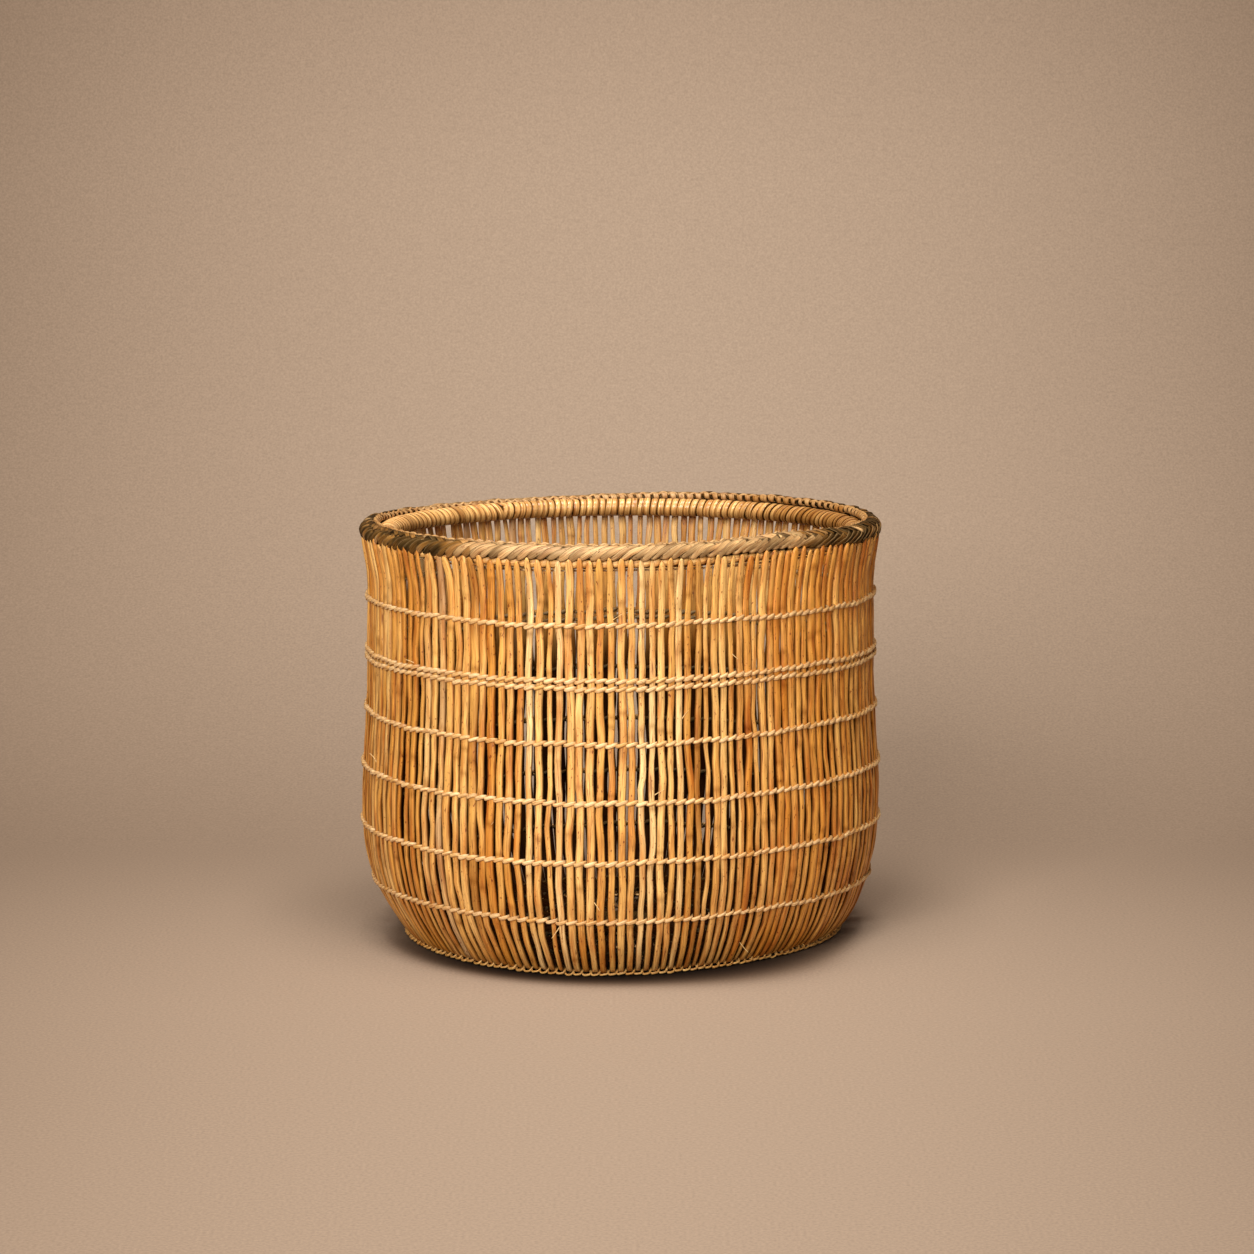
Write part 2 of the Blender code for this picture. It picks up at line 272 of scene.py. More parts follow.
def rod_stains(at, height, knots):
    """The colour of every point of the rods. Along its length a rod goes back and forth between two
    colours drawn by chance. It is darker at the foot and just before a knot, and painted shade makes it
    browner at both sides of the basket. The inner side and the flanks of each rod carry painted shade,
    nearly black in the lower wall and clearing towards the mouth, because the gaps between the real rods are
    that dark."""
    first = 1.03 * ROD_COLOURS[chance.choice(len(ROD_COLOURS), RODS, p=FIRST_SHARES)]
    second = ROD_COLOURS[chance.choice(len(ROD_COLOURS), RODS, p=SECOND_SHARES)]
    turned = np.clip(0.35 + waver(at, (260, 110), 0.45), 0, 1)[..., None]
    stain = first[:, None, :] * (1 - turned) + second[:, None, :] * turned
    stain = stain * np.clip(1 + waver(at, (70, 24), 0.07), 0.7, 1.2)[..., None]
    low = np.interp(height, [0, 30, 110], [0.74, 0.88, 1.03])[..., None]
    stain = stain * low ** np.array([1, 1.25, 1.5])
    # Painted shade at both sides of the basket, which makes the rods browner there.
    right_side, left_side = at_right(TURN)[:, None, None], at_left(TURN)[:, None, None]
    stain = stain * 1.03 * (1 - right_side * SHADE_AT_RIGHT) * (1 - left_side * SHADE_AT_LEFT)
    before_knot = np.exp(-(((at[:, :, None] - knots[:, None, :] + 2) / 2.4) ** 2)).sum(-1)
    stain = stain * (1 - 0.35 * np.clip(before_knot, 0, 1))[..., None] ** WARM
    # Painted shade on the inner side and the flanks of the rods, nearly black low in the wall.
    inside = np.interp(height, [8, 30, 190, 285], [0.03, 0.028, 0.04, 1])[:, :, None]
    faced = np.interp(np.cos(circle(ROD_SIDES)), [-0.3, 0.1, 0.5, 0.87], [0, 0.05, 0.44, 1])
    flank_and_inner_shade = inside + (1 - inside) * faced
    return stain[:, :, None, :] * flank_and_inner_shade[..., None] ** np.array([1, 1.15, 1.35])


def grid(rows, columns, closed):
    """The four corners of each cell of a tube of rows of points, wrapped round its columns, and where it
    is closed, from its last row back to the first. Turned so that the faces look outwards."""
    row = np.arange(rows if closed else rows - 1)[:, None]
    column = np.arange(columns)[None, :]
    under, beside = (row + 1) % rows, (column + 1) % columns
    cell = ((row, column), (under, column), (under, beside), (row, beside))
    corners = np.broadcast_arrays(*[down * columns + side for down, side in cell])
    return np.stack([corner.ravel() for corner in corners], 1)


def keep_values(mesh, name, kind, field, values):
    """Keeps a value for each point of a mesh under a name, for its material to read."""
    mesh.attributes.new(name, kind, "POINT").data.foreach_set(field, values.astype(np.float32).ravel())


def piece(name, tubes, closed, finish, nodes):
    """One piece from tubes of points. Each tube is its rings of points, the same points as they would lie
    if the stick were straight, for the grain, and the colour of each. Open ends are closed by a face."""
    points, straight, stains, quads, ends = [], [], [], [], []
    total = 0
    for rings, grain, stain in tubes:
        rows, columns = rings.shape[:2]
        quads.append(total + grid(rows, columns, closed))
        if not closed:
            ends.append(total + np.arange(columns))
            ends.append(total + rows * columns - 1 - np.arange(columns))
        total += rows * columns
        points.append(rings.reshape(-1, 3))
        straight.append(grain.reshape(-1, 3))
        stains.append(stain.reshape(-1, 3))
    quads = np.concatenate(quads)
    corners = np.concatenate([quads.ravel(), *ends])
    sizes = np.array([4] * len(quads) + [len(end) for end in ends])
    starts = np.cumsum(sizes) - sizes
    metres = hand_made(np.concatenate(points)) * 0.001
    mesh = bpy.data.meshes.new(name)
    mesh.vertices.add(total)
    mesh.vertices.foreach_set("co", metres.astype(np.float32).ravel())
    mesh.loops.add(len(corners))
    mesh.loops.foreach_set("vertex_index", corners.astype(np.int32))
    mesh.polygons.add(len(starts))
    mesh.polygons.foreach_set("loop_start", starts.astype(np.int32))
    mesh.polygons.foreach_set("use_smooth", np.ones(len(starts), bool))
    mesh.update(calc_edges=True)
    keep_values(mesh, "grain", "FLOAT_VECTOR", "vector", np.concatenate(straight))
    colours = np.clip(np.concatenate(stains), 0, 1)
    keep_values(mesh, "stain", "FLOAT_COLOR", "color", np.concatenate([colours, np.ones((total, 1))], 1))
    mesh.materials.append(finish)
    made = bpy.data.objects.new(name, mesh)
    bpy.context.scene.collection.objects.link(made)
    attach(made, "root")
    if nodes:
        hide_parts(*nodes)
    return made


def grained(name, fine, streaks, patches, patch_colour, specks, roughness):
    """A plant fibre. Its colour is the stain of the piece, multiplied by the patch colour in long patches,
    made lighter and browner in fine streaks along the grain, and brown in short slits and specks. The
    streaks are also its bump, and set how rough it is. Where the stain is dark it takes hardly any shine."""
    made = bpy.data.materials.new(name)
    made.use_nodes = True
    nodes, links = made.node_tree.nodes, made.node_tree.links
    shader = nodes["Principled BSDF"]

    def add(kind, **values):
        """A node of a kind, with its settings."""
        node = nodes.new(kind)
        for key, value in values.items():
            setattr(node, key, value)
        return node

    def noise(across, along, detail):
        """Noise on the straightened stick, with one scale across it and another along it."""
        place = add("ShaderNodeVectorMath", operation="MULTIPLY")
        place.inputs[1].default_value = (across, across, along)
        texture = add("ShaderNodeTexNoise", noise_dimensions="3D")
        texture.inputs["Scale"].default_value = 1.0
        texture.inputs["Detail"].default_value = detail
        links.new(grain.outputs["Vector"], place.inputs[0])
        links.new(place.outputs[0], texture.inputs["Vector"])
        return texture.outputs["Fac"]

    def ranged(value, low, high, to_low, to_high):
        """The value carried from low and high to two other numbers, and held at both."""
        node = add("ShaderNodeMapRange")
        for socket, number in zip(node.inputs[1:5], (low, high, to_low, to_high)):
            socket.default_value = number
        links.new(value, node.inputs[0])
        return node.outputs[0]

    def multiplied(amount, first, second):
        """The first colour, taken by the amount towards its product with the second."""
        node = add("ShaderNodeMix", data_type="RGBA", blend_type="MULTIPLY")
        links.new(amount, node.inputs[0])
        links.new(first, node.inputs[6])
        node.inputs[7].default_value = (*second, 1)
        return node.outputs[2]

    grain = add("ShaderNodeAttribute", attribute_name="grain")
    stain = add("ShaderNodeAttribute", attribute_name="stain")
    streak = noise(fine, fine * 0.035, 4)
    patch = ranged(noise(0.16, 0.022, 3), 0.46, 0.68, 0, patches)
    slit = ranged(noise(fine * 0.8, 0.05, 2), 0.63, 0.70, 0, specks)
    speck = ranged(noise(0.55, 0.30, 2), 0.65, 0.72, 0, specks)
    pale_streak = ranged(streak, 0.42, 0.7, 1, 1 + streaks * 0.5)
    brown_streak = ranged(streak, 0.28, 0.55, min(1.0, streaks * 1.7), 0)
    lit = add("ShaderNodeVectorMath", operation="SCALE")
    links.new(multiplied(patch, stain.outputs["Color"], patch_colour), lit.inputs[0])
    links.new(pale_streak, lit.inputs[3])
    colour = multiplied(brown_streak, lit.outputs[0], (0.50, 0.27, 0.12))
    colour = multiplied(slit, colour, (0.30, 0.12, 0.04))
    colour = multiplied(speck, colour, (0.36, 0.15, 0.05))
    links.new(colour, shader.inputs["Base Color"])
    links.new(ranged(streak, 0.3, 0.7, roughness + 0.1, roughness - 0.06), shader.inputs["Roughness"])
    shine = ranged(stain.outputs["Fac"], 0.08, 0.38, 0.02, 0.5)
    links.new(shine, shader.inputs["Specular IOR Level"])
    raised = add("ShaderNodeBump")
    raised.inputs["Strength"].default_value = 0.5
    raised.inputs["Distance"].default_value = 0.0004
    links.new(streak, raised.inputs["Height"])
    links.new(raised.outputs[0], shader.inputs["Normal"])
    return made


tips_out = chance.random(RODS) < 0.85
rod_finish = grained("peeled_rod", fine=1.5, streaks=0.38, patches=0.9, patch_colour=(0.72, 0.47, 0.26),
                     specks=0.95, roughness=0.44)
paths, lengths, outwards, backwards, heights = rod_paths()
thickness, knot_places = rod_thickness(lengths, heights)
rings, straight = rod_rings(paths, lengths, outwards, backwards, heights, thickness)
rod_tubes = list(zip(rings, straight, rod_stains(lengths, heights, knot_places)))
for group in range(RODS // RODS_IN_GROUP):
    tubes = rod_tubes[group * RODS_IN_GROUP:(group + 1) * RODS_IN_GROUP]
    piece(f"rods_{group + 1:02d}", tubes, False, rod_finish, [f"stake_group_{group + 1:02d}"])


# Twine. Each row is two split strands of one round plant stem, which cross between every two rods, so
# that one passes outside a rod and the other inside. With 155 rods a strand comes round to the other
# side, so a row is one strand that goes round twice and meets itself.
PALE_STRAND = (0.89, 0.62, 0.32)
DEEP_STRAND = (0.70, 0.39, 0.115)


def from_stitch_to_stitch(values, turns):
    """Takes each stitch's own value to the next one's along half a cosine."""
    first = np.floor(turns).astype(int)
    share = (1 - np.cos(math.pi * (turns - first))) / 2
    return values[first % len(values)] * (1 - share) + values[(first + 1) % len(values)] * share


def blended(first, second, share):
    """The colour that lies between two others, at a share of the way for each point of a strand."""
    return np.asarray(first) * (1 - share[:, None]) + np.asarray(second) * share[:, None]


def strand(middle, up, wide, thick, sides, stain, closed=True, edge=1.0, fade=6):
    """A strand along its middle line: an ellipse at each point, wide along the up direction and thick
    square to it and to the line. Painted shade takes its colour down to the edge share, and warmer, at both
    edges of its width, by a power of the sine of the place round it.
    Returns its rings, the same rings straightened, and their colours."""
    ahead = (np.roll(middle, -1, 0) - np.roll(middle, 1, 0)) if closed else np.gradient(middle, axis=0)
    run = unit(ahead)
    up = unit(up - (up * run).sum(1)[:, None] * run)
    out = np.cross(run, up)
    wide, thick = (np.broadcast_to(size, len(middle))[:, None] for size in (wide, thick))
    over, beside = thick / 2 * np.cos(circle(sides)), wide / 2 * np.sin(circle(sides))
    rings = middle[:, None, :] + over[..., None] * out[:, None, :] + beside[..., None] * up[:, None, :]
    straight = np.stack(np.broadcast_arrays(over, beside, length_along(middle)[:, None]), -1)
    # Painted shade at both edges of the strand's width.
    edge_shade = 1 - (1 - edge) * np.abs(np.sin(circle(sides))) ** fade
    stain = np.broadcast_to(stain, middle.shape)
    return rings, straight, stain[:, None, :] * edge_shade[None, :, None] ** WARM


def twined_row(radius, height, slope, stitches, reach, rise, wide, thick, steps=8, wander=0.9,
               shift=0.0, overlap=0.6, uneven=1.0, pale=PALE_STRAND, deep=DEEP_STRAND, inner=0.10,
               edge=0.55, fade=6):
    """A twined row round the basket. At t stitches along it, the strand lies off the row's line by reach
    times a flattened cos(pi t) out of the wall and by rise times sin(pi t) along the rods, for twice
    round, so its two turns twist about each other. The slope is that of the wall, mm outwards for each
    mm up, and infinite in the flat base. With an overlap the strand stays outside for longer than inside,
    so that its stitches lap over each other. It is outside on the rods, or with a shift of one half,
    between them. Where it is inside, painted shade takes its stain down to the inner share, and at both
    sides of the basket painted shade makes it darker."""
    turns = np.arange(2 * stitches * steps) / steps
    angle = (turns + 0.5) * 2 * math.pi / stitches
    waves = zip((2, 5, 11, 23), (0.5, 0.4, 0.35, 0.3), chance.uniform(0, 6.3, 4))
    drift = sum(wander * share * np.sin(count * angle + phase) for count, share, phase in waves)
    lift = from_stitch_to_stitch(chance.normal(0, 0.32 * uneven, 2 * stitches), turns)
    size = from_stitch_to_stitch(chance.normal(1, 0.09 * uneven, 2 * stitches), turns)
    far = from_stitch_to_stitch(chance.normal(0, 0.14, 2 * stitches), turns)
    swing = np.tanh(1.8 * np.cos(math.pi * (turns - shift)) + overlap) / math.tanh(1.8)
    out = reach * swing + far * swing**2
    rising = rise * np.sin(math.pi * (turns - shift)) + drift + lift
    cos, sin = math.cos(math.atan(slope)), math.sin(math.atan(slope))
    middle = at_angle(radius + out * cos + rising * sin, angle, height + rising * cos - out * sin)
    full = size * (0.78 + 0.22 * swing**2)
    share = np.clip(0.3 + from_stitch_to_stitch(chance.normal(0, 0.3, 2 * stitches), turns), 0, 1)
    stain = blended(pale, deep, share)
    # Painted shade: darker at both sides of the basket, and down to the inner share where the strand goes
    # inside.
    stain = stain * (1.04 - 0.16 * at_right(angle) - 0.10 * at_left(angle))[:, None] ** WARM
    stain = stain * np.interp(swing, [-1, -0.2, 0.5, 1], [inner, inner, 0.85, 1])[:, None]
    return strand(middle, at_angle(sin, angle, cos), wide * full, thick * (0.75 + 0.25 * full), 8, stain,
                  edge=edge, fade=fade)


strand_finish = grained("split_strand", fine=2.2, streaks=0.50, patches=0.55,
                        patch_colour=(0.82, 0.60, 0.38), specks=0.55, roughness=0.44)


# Middle of the base. The long rods start from a tight button of twine, wound outwards in a spiral, which
# is as thick as the rods and the strands on both sides of them.
def button():
    """A twisted strand laid in a flat spiral: it winds out by 4.3 mm a turn, and goes once over and once
    under for every 10 mm of its length. Two of these, half a twist apart, make the button."""
    at = np.arange(0, 560, 0.9)
    radius = np.sqrt(9 + at * 4.3 / math.pi)
    angle = np.concatenate([[0], np.cumsum(np.diff(at) / radius[:-1])])
    tubes = []
    for half in (0, math.pi):
        swing = np.cos(at * math.pi / 5 + half)
        spread = radius + 0.7 * np.sin(at * math.pi / 5 + half)
        middle = at_angle(spread, angle, BASE_LEVEL - 0.1 - 3.3 * swing)
        full = 0.7 + 0.3 * swing**2
        # Painted shade: the strand is darker where it goes under; the slow sine is its own tone.
        shade = (0.8 + 0.15 * np.sin(at / 23)) * np.interp(swing, [-1, 0.3, 1], [0.05, 0.5, 1])
        stain = np.array(DEEP_STRAND) * shade[:, None]
        tubes.append(strand(middle, at_angle(1, angle, 0), 4.9 * full, 2.3 * full, 8, stain, closed=False))
    return tubes


piece("base_button", button(), False, strand_finish, ["base_hub"])


# Rows of the base. Two twined rows, 119 and 75 mm from the axis, hold the rods where new ones are let in.
# The strands underneath are what the basket stands on, with the button and the row at the foot.
for number, (radius, stitches) in enumerate(((119.4, 155), (74.9, 93)), 1):
    row = twined_row(radius, BASE_LEVEL, math.inf, stitches, reach=3.1, rise=1.2, wide=3.4, thick=1.7,
                     steps=6, wander=0.5, inner=0.05)
    nodes = [f"base_row_{number}_under", f"base_row_{number}_over"]
    piece(f"base_row_{number}", [row], True, strand_finish, nodes)


# Row at the foot. It lies on the bend where the rods turn under, so that it shows from the front as a
# thin scalloped line of arcs, one to a rod.
foot_row = twined_row(FOOT_RADIUS + 0.2, BASE_LEVEL + 0.4, 1.0, RODS, reach=3.75, rise=0.7, wide=2.3,
                      thick=1.6, wander=0.3, uneven=2.0, pale=(0.82, 0.50, 0.17), deep=(0.60, 0.30, 0.07))
piece("foot_row", [foot_row], True, strand_finish, ["foot_row_under", "foot_row_over"])


# Rows of the wall. Seven twined rows, two of them close together, run round level with a slight waver.
# Inside the basket their strands carry painted shade, less near the mouth, as the rods do.
for number in range(1, 8):
    low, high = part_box(f"weft_row_{number}")
    height = (low.z + high.z) * 500
    slope = float(wall_radius(height + 1) - wall_radius(height - 1)) / 2
    row = twined_row(float(wall_radius(height)) + 0.7, height, slope, RODS, reach=3.0, rise=0.95, wide=3.3,
                     thick=1.8, inner=float(np.interp(height, [200, 300], [0.10, 0.6])))
    piece(f"wall_row_{number}", [row], True, strand_finish, [f"weft_row_{number}"])


# Row under the border. Its strands are thicker, so they bulge as round beads in the gaps between the
# rods' tips, which are cut to a point and lean a little out. A thin strand runs round inside below it.
low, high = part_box("top_weft_row")
top_height = (low.z + high.z) * 500
top_radius = float(wall_radius(top_height))
# Painted shade darkens the beads at their top and bottom edges and where the strand goes inside.
top_row = twined_row(top_radius - 1.6, top_height + 1.0, 0.0, RODS, reach=2.9, rise=0.6, wide=6.8, thick=4.2,
                     wander=0.25, shift=0.5, overlap=-0.35, pale=(0.96, 0.60, 0.23), deep=(0.72, 0.38, 0.10),
                     inner=0.12, edge=0.12, fade=3)
binder_angle = circle(620)
binder_line = at_angle(top_radius - 4.2, binder_angle, top_height - 5.2 + 0.4 * np.sin(7 * binder_angle))
binder = strand(binder_line, (0, 0, 1), 1.7, 1.2, 6, PALE_STRAND)
piece("bead_row", [top_row, binder], True, strand_finish, ["top_weft_row"])


# Hoop. A stout round stick, bent into a ring and laid inside the mouth against the top row: a circle of
# 12 mm, thicker and thinner by 2%, carried round a circle.
HOOP_RADIUS = 179.0
hoop_height = top_height + 2.4
stick_angle = circle(240)
stick_size = 12.0 * (1 + 0.02 * np.sin(9 * stick_angle))
stick = strand(at_angle(HOOP_RADIUS, stick_angle, hoop_height), (0, 0, 1), stick_size, stick_size, 16,
               (0.11, 0.045, 0.010))
piece("hoop_stick", [stick], True, rod_finish, ["hoop_core"])


# Splints. Flat glossy splints are wound round the hoop, turn beside turn, up against the row behind it.
# Each is crowned, so it takes a highlight along its middle. At the left and right of the mouth the turns
# are narrower and slant more, and at the right they are browner.
SPLINT_TURNS = 187
SPLINT_THICKNESS = 1.5
SPLINT = (0.92, 0.56, 0.215)
SPLINT_DARK = (0.38, 0.185, 0.047)


def winding():
    """A flat strand wound on the hoop: at u turns, it is u / 187 of the way round the mouth and has gone u
    times round an egg-shaped section of about 7 mm radius, whose blunt end is inside. The slant adds a
    shift along the hoop of 0.3 to 0.85 of a turn times the sine of the turn, forwards from the right
    round to the back, and backwards elsewhere. The underside of the section and the edges between the
    turns are darker with painted shade."""
    steps = 26
    turn = np.arange(SPLINT_TURNS * steps) / steps
    around = 2 * math.pi * turn
    along = turn / SPLINT_TURNS * 2 * math.pi
    lean = np.where(np.cos(along - math.radians(48)) > 0.2, 1.0, -1.0)
    each = from_stitch_to_stitch(chance.normal(0, 0.12, SPLINT_TURNS), turn)
    slant = 0.30 + 0.55 * near(along, 25, 32) + 0.55 * near(along, 178, 24)
    along = along + (each + slant * lean * np.sin(around)) / SPLINT_TURNS * 2 * math.pi
    swell = 1 + 0.035 * from_stitch_to_stitch(chance.normal(0, 1, SPLINT_TURNS), turn)
    outside = np.clip(np.cos(around), 0, 1)
    radial = HOOP_RADIUS + 7.15 * swell * np.cos(around) * (1 + 0.16 * outside)
    level = hoop_height - 6.9 * swell * np.sin(around) * (1 - 0.22 * outside)
    narrower = 0.17 * near(along, 15, 38, 4) + 0.17 * near(along, 178, 28, 4)
    pitch = 2 * math.pi * radial / SPLINT_TURNS * (1 - narrower)
    browner = 0.2 + 0.85 * near(along, 12, 38)
    share = browner + from_stitch_to_stitch(chance.normal(0, 0.25, SPLINT_TURNS), turn)
    stain = blended(SPLINT, SPLINT_DARK, np.clip(share, 0, 1))
    # Painted shade on the underside of the hoop.
    stain = stain * (1.04 - 0.40 * np.clip(np.sin(around) + 0.1, 0, 1))[:, None] ** WARM
    ahead = np.stack([-np.sin(along), np.cos(along), 0 * along], 1)
    return strand(at_angle(radial, along, level), -ahead, pitch, SPLINT_THICKNESS, 12, stain, edge=0.10,
                  fade=4)


splint_finish = grained("glossy_splint", fine=1.0, streaks=0.7, patches=0.6,
                        patch_colour=(0.74, 0.52, 0.32), specks=0.6, roughness=0.22)
piece("hoop_splints", [winding()], True, splint_finish, ["hoop_wrapping"])


# Border. Flat ribbons are plaited over the rods' tips. On the outer side they climb to the right and go
# over, on the crest they meet the ribbons that come from inside and go under. The plait is pale in
# front, and dark at both sides and at the back right.
PLY = 11
RIBBON_WIDTH = 5.3
RIBBON_THICKNESS = 1.3
BORDER_RADIUS = 191.0
PALE_RIBBON = (0.61, 0.385, 0.17)
BROWN_RIBBON = (0.32, 0.15, 0.033)
BLACK_RIBBON = (0.050, 0.027, 0.007)
# The plait's section, from the outer edge over the crest to the inner one: how far each point lies out
# from the border's radius and above the rods' tips.
SADDLE = np.array([(6.3, 1.2), (6.9, 3.4), (6.2, 5.6), (4.2, 7.2), (1.6, 7.9), (-0.8, 7.4), (-2.3, 5.6),
                   (-2.7, 3.4)])


def crest(angle):
    """How far the crest of the border lies above its level at an angle, in mm: up at the front right and
    the back right, down at the back left, and a little lumpy all round."""
    lumps = 0.28 * np.sin(23 * angle + 1.0) + 0.24 * np.sin(37 * angle + 2.3) + 0.2 * np.sin(61 * angle)
    return 2.6 * near(angle, -43, 14) - 3.0 * near(angle, 128, 42, 4) + near(angle, 45, 25) + lumps


def darkness(angle):
    """How dark the border is at an angle round the basket, from 0 to 1: two broad patches with soft ends,
    one at the left and one from the right to the back right, and none at the front and back left."""
    spots = ((-12, 26, 1.0), (18, 24, 0.85), (50, 20, 0.7), (168, 16, 0.7), (196, 20, 0.9), (218, 15, 0.85))
    return np.max([strength * near(angle, middle, spread, 6) for middle, spread, strength in spots], 0)


def plait():
    """The ribbon of a flat plait of 11, laid over a saddle. At t rods along, its way across the saddle
    follows the arc cosine of 0.998 cos(2 pi t / 11), a zigzag with sharp turns. It folds at either edge and
    lies above the middle layer by the cosine of that angle while it climbs to the crest, and below it by
    as much while it goes down, so each ribbon laps over the one before it. It starts in a point that
    hangs 2.1 mm lower, which gives the lower edge its teeth, and except in front that edge hangs another
    3.2 mm lower. At the right its middle line lies lower on the outer side. Eleven times round the
    basket bring the ribbon back to its start. Its stain goes from pale over brown to black with the
    darkness, and painted shade makes it darker inside and where it lies below. Its edges are darkened
    with painted shade where it is pale, and rubbed pale with wear where it is dark."""
    steps = 6
    turns = np.arange(PLY * RODS * steps) / steps
    angle = (turns + 0.5) * ROD_STEP
    phase = 2 * math.pi * turns / PLY
    turned = math.acos(0.998)
    across = (np.arccos(0.998 * np.cos(phase)) - turned) / (math.pi - 2 * turned)
    across = across ** (1 + 0.8 * near(angle, -20, 40, 4))
    saddle_length = length_along(SADDLE)
    fine = np.linspace(0, 1, 200)
    curve = smoothed(points_at(fine, saddle_length / saddle_length[-1], SADDLE), 35)
    way_off, way_above = points_at(across, fine, unit(np.gradient(curve, axis=0))).T
    off, above = points_at(across, fine, curve).T
    arms = 4 * RODS
    arm = turns * 4 / PLY
    lift = np.tanh(6 * np.sin(phase)) * np.cos(phase)
    lift = lift + from_stitch_to_stitch(chance.normal(0, 0.22, arms), arm)
    radial = BORDER_RADIUS + off + lift * way_above + 0.4 * near(angle, 187, 35)
    hang = 3.2 * (1 - near(angle, -84, 44, 6)) * np.clip(1 - across * 1.6, 0, 1) - 1.4
    hang = hang + 2.1 * np.exp(-((np.mod(phase, 2 * math.pi) / 0.42) ** 2))
    middle = at_angle(radial, angle, TIP_HEIGHT + above - lift * way_off - hang + crest(angle))
    up = at_angle(way_off + 0.15 * way_above, angle, way_above - 0.15 * way_off)
    size = from_stitch_to_stitch(chance.normal(1, 0.16, arms), arm) * np.interp(across, [0, 0.06], [0.6, 1])
    patchy = from_stitch_to_stitch(chance.normal(0, 0.4, arms), arm) * (darkness(angle) > 0.05)
    dark = np.clip(darkness(angle) + patchy, 0, 1)
    stain = blended(PALE_RIBBON, BROWN_RIBBON, np.clip(dark * 2, 0, 1))
    stain = blended(stain, BLACK_RIBBON, np.clip(dark * 2 - 1, 0, 1))
    tone_and_shade = from_stitch_to_stitch(chance.normal(0.95, 0.22, arms), arm)
    # Painted shade where the ribbon lies below and on the plait's inner side; the chance tone above is its
    # own.
    tone_and_shade = tone_and_shade * np.interp(np.sin(2 * phase), [-1, -0.05, 0.12], [0.16, 0.2, 1])
    tone_and_shade = (tone_and_shade * np.interp(across, [0.55, 0.8], [1, 0.25]))[:, None]
    rings, straight, colours = strand(middle, up, RIBBON_WIDTH * size, RIBBON_THICKNESS, 8, stain * tone_and_shade)
    # At the edges: painted shade on pale ribbons, and pale wear on dark ones.
    edges = 0.8 * np.abs(np.sin(circle(8)))[None, :, None] ** 4
    dark = dark[:, None]
    shade_and_wear = stain * (1 - dark) * 0.14 + np.array(PALE_RIBBON) * 0.42 * dark * tone_and_shade
    return rings, straight, colours * (1 - edges) + shade_and_wear[:, None, :] * edges


def whipping():
    """A thin strand wound along the inner edge of the crest, one turn to a rod, with gaps between its
    turns: an oval, 4.4 mm wide and 4.2 mm high, carried round the mouth. A thin cord lies along its top,
    whose middle goes 130 times round a circle of 0.8 mm radius on its way round the mouth. Both lie
    0.8 mm higher in front."""
    steps = 14
    turn = np.arange(RODS * steps) / steps
    around = 2 * math.pi * turn
    along = (turn + 0.16 * np.sin(around + 0.6)) * ROD_STEP
    level = TIP_HEIGHT + 6.8 - 2.1 * np.sin(around) + crest(along) + 0.8 * near(along, -90, 45, 4)
    middle = at_angle(BORDER_RADIUS - 3.7 + 2.2 * np.cos(around), along, level)
    ahead = np.stack([-np.sin(along), np.cos(along), 0 * along], 1)
    size = from_stitch_to_stitch(chance.normal(1, 0.14, RODS), turn)
    patchy = from_stitch_to_stitch(chance.normal(0, 0.25, RODS), turn)
    dark = np.clip((0.45 + 0.35 * near(along, 50, 30)) * darkness(along) + patchy, 0, 1)
    stain = blended(0.9 * np.array(PALE_RIBBON), BROWN_RIBBON, dark)
    wound = strand(middle, ahead, 5.0 * size, RIBBON_THICKNESS, 8, stain, edge=0.4)
    angle = circle(900)
    twist = 130 * angle
    level = TIP_HEIGHT + 9.0 + 0.8 * np.sin(twist) + crest(angle) + 0.8 * near(angle, -90, 45, 4)
    middle = at_angle(BORDER_RADIUS - 3.4 + 0.8 * np.cos(twist), angle, level)
    stain = blended(PALE_RIBBON, BROWN_RIBBON, np.clip(0.6 * darkness(angle), 0, 1))
    return [wound, strand(middle, (0, 0, 1), 2.2, 2.0, 6, stain, edge=0.6)]


ribbon_finish = grained("plait_ribbon", fine=1.6, streaks=0.5, patches=0.6, patch_colour=(0.80, 0.58, 0.38),
                        specks=0.7, roughness=0.5)
piece("border_plait", [plait()], True, ribbon_finish, ["plaited_border"])
piece("border_whipping", whipping(), True, ribbon_finish, ["plaited_border"])


# Loose fibres. Fine fibres that have split from the rods and the twine stand off the wall here and there.
# For each: degrees round the basket, height, and how far it goes sideways, upwards and off the wall.
WISPS = ((-93, 280, 13, 9, 5), (-96, 67, 6, -7, 4), (-104, 44, -5, -8, 4), (-56, 22, 7, -9, 3),
         (-142, 238, -9, 4, 5), (-75, 205, 5, 8, 4), (-120, 120, 7, 6, 4), (-40, 160, -6, 9, 4),
         (-82, 148, 8, 5, 3), (-62, 255, 6, -6, 4), (70, 190, 7, 8, 4), (120, 90, -8, 6, 4),
         (15, 230, 6, 9, 3), (200, 150, -6, 8, 4))


def wisp(degrees, height, sideways, upwards, off):
    """A thin fibre: its foot is in the wall, and at the share t of its length it has gone t sideways and
    upwards and the square of t off the wall. It tapers to its end."""
    share = np.linspace(0, 1, 9)
    radius = float(wall_radius(height)) + 1.5 + off * share**2
    angle = math.radians(degrees) + sideways * share / radius
    middle = at_angle(radius, angle, height + upwards * share)
    wide = 0.9 - 0.6 * share
    return strand(middle, at_angle(1, angle, 0), wide, wide, 6, STRAW, closed=False)


piece("loose_fibres", [wisp(*each) for each in WISPS], False, rod_finish, [])


# Studio. A tan paper sweep bends up behind the basket. A large soft lamp stands to the upper left in
# front, a weaker one to the right, and a third hangs overhead. The shade at the paper's bend and edges,
# and the narrow dark ring at the basket's foot, are in its colour, because these lamps don't make them.
BEND_START = 300
BEND_RADIUS = 900
BACKDROP_HEIGHT = 5000


